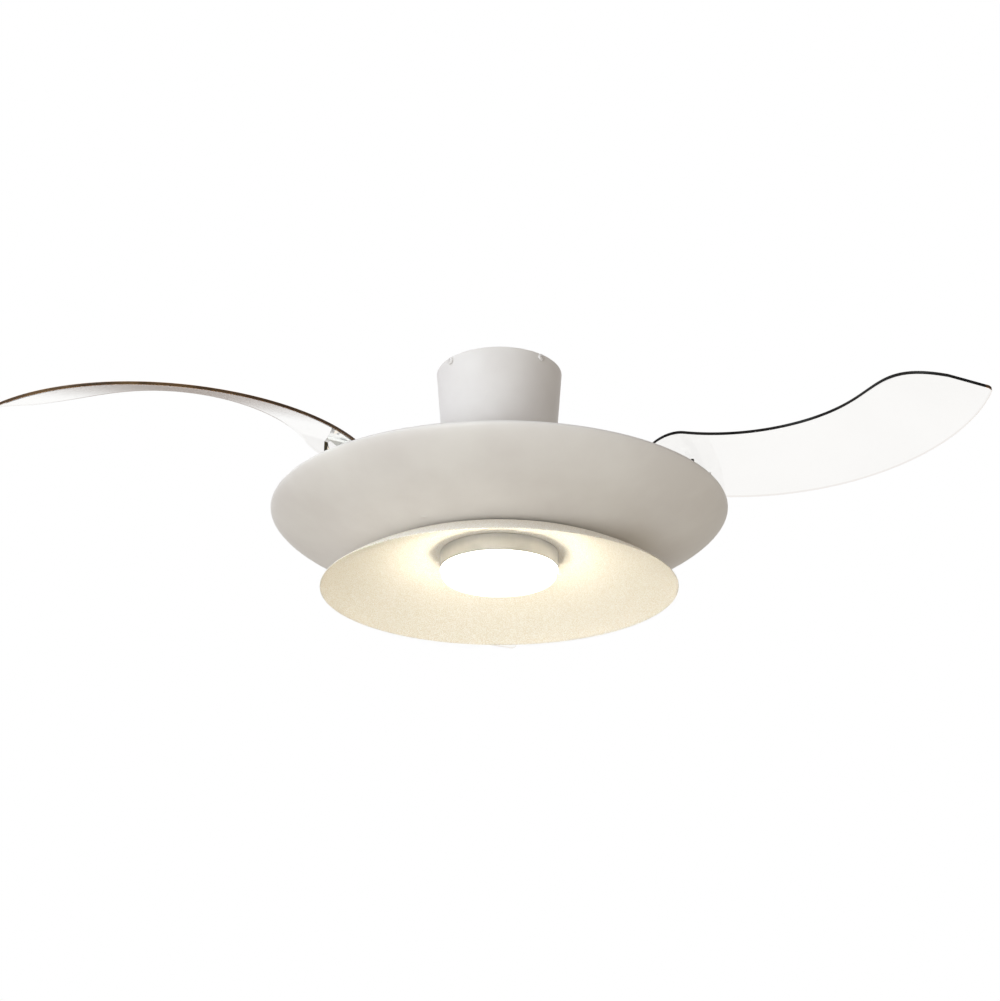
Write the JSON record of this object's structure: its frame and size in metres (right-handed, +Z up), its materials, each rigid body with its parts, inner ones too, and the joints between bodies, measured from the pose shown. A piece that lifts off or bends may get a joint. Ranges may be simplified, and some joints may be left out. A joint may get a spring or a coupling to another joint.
{
  "type": "retractable blade ceiling fan",
  "caption": "Ceiling fan with a shallow round body, a lit dish reflector underneath and clear curved blades that fold back over the body.",
  "frame": {"origin": "centre of the ceiling bracket's top face, where it meets the ceiling", "axes": "+Z up, square to the ceiling, along the shaft; +X to the right and +Y away from the camera of the reference view; the first blade pivot lies 14.7 degrees clockwise of +X seen from above"},
  "size_m": [0.9264, 0.831, 0.259],
  "materials": {
    "white_paint": "satin white powder coat",
    "dish_paint": "fine sand textured warm white coat",
    "steel": "zinc plated",
    "stator_steel": "varnished laminations",
    "copper": "enamelled copper",
    "magnet": "sintered, matte",
    "aluminium": "satin, clear coated",
    "brass": "turned",
    "rubber": "matte",
    "black_plastic": "fine grain",
    "white_plastic": "fine grain",
    "circuit_board": "white solder mask",
    "clear_acrylic": "clear, polished faces and edges",
    "opal_acrylic": "opal, frosted"
  },
  "bodies": {
    "housing": {"ceiling_bracket": "steel", "hanger_yoke": "steel", "canopy": "white_paint", "canopy_screw_1": "white_paint", "canopy_screw_2": "white_paint", "canopy_screw_3": "white_paint", "canopy_screw_4": "white_paint", "receiver_box": "black_plastic", "terminal_block": "white_plastic", "rubber_damper": "rubber", "shaft_top_nut": "steel", "hollow_shaft": "steel", "stator_core": "stator_steel", "upper_winding": "copper", "lower_winding": "copper", "upper_bearing": "steel", "lower_bearing": "steel", "lower_spacer": "aluminium", "lower_mount_plate": "steel", "lower_shaft_nut": "brass", "body_bowl": "white_paint", "bowl_screw_1": "steel", "bowl_screw_2": "steel", "bowl_screw_3": "steel", "led_driver": "white_plastic", "dish_reflector": "dish_paint", "lamp_ring": "aluminium", "lamp_base": "aluminium", "lamp_screw_1": "steel", "lamp_screw_2": "steel", "lamp_screw_3": "steel", "led_board": "circuit_board", "diffuser": "opal_acrylic"},
    "rotor": {"rotor_upper_shell": "white_paint", "rotor_lower_shell": "white_paint", "magnet_ring": "magnet", "blade_disc": "aluminium", "gear_cover": "white_plastic", "pivot_pin_1": "steel", "torsion_spring_1": "steel", "bump_stop_1": "rubber", "pivot_pin_2": "steel", "torsion_spring_2": "steel", "bump_stop_2": "rubber", "pivot_pin_3": "steel", "torsion_spring_3": "steel", "bump_stop_3": "rubber"},
    "sync_ring": {"sync_gear": "white_plastic"},
    "blade_arm_1": {"blade_holder_1": "white_plastic", "blade_1": "clear_acrylic", "blade_1_screw_1": "steel", "blade_1_screw_2": "steel"},
    "blade_arm_2": {"blade_holder_2": "white_plastic", "blade_2": "clear_acrylic", "blade_2_screw_1": "steel", "blade_2_screw_2": "steel"},
    "blade_arm_3": {"blade_holder_3": "white_plastic", "blade_3": "clear_acrylic", "blade_3_screw_1": "steel", "blade_3_screw_2": "steel"}
  },
  "joints": [
    {"name": "rotor_spin", "type": "hinge", "parent": "housing", "child": "rotor", "pos_m": [0, 0, -0.147], "axis": [0, 0, 1], "continuous": true},
    {"name": "blade_1_fold", "type": "hinge", "parent": "rotor", "child": "blade_arm_1", "pos_m": [0.19345, -0.05075, -0.174], "axis": [0, 0, 1], "range_deg": [-116.6, 0], "stiffness_Nm_per_rad": 0.06, "springref_deg": -136.66},
    {"name": "blade_2_fold", "type": "hinge", "parent": "rotor", "child": "blade_arm_2", "pos_m": [-0.05278, 0.19291, -0.174], "axis": [0, 0, 1], "range_deg": [-116.6, 0], "stiffness_Nm_per_rad": 0.06, "springref_deg": -136.66},
    {"name": "blade_3_fold", "type": "hinge", "parent": "rotor", "child": "blade_arm_3", "pos_m": [-0.14068, -0.14216, -0.174], "axis": [0, 0, 1], "range_deg": [-116.6, 0], "stiffness_Nm_per_rad": 0.06, "springref_deg": -136.66},
    {"name": "sync_gear_turn", "type": "hinge", "parent": "rotor", "child": "sync_ring", "pos_m": [0, 0, -0.174], "axis": [0, 0, 1], "range_deg": [0, 20.59]}
  ],
  "couplings": [
    {"joint": "blade_2_fold", "follows": "blade_1_fold", "ratio": 1},
    {"joint": "blade_3_fold", "follows": "blade_1_fold", "ratio": 1},
    {"joint": "sync_gear_turn", "follows": "blade_1_fold", "ratio": -0.17647}
  ]
}
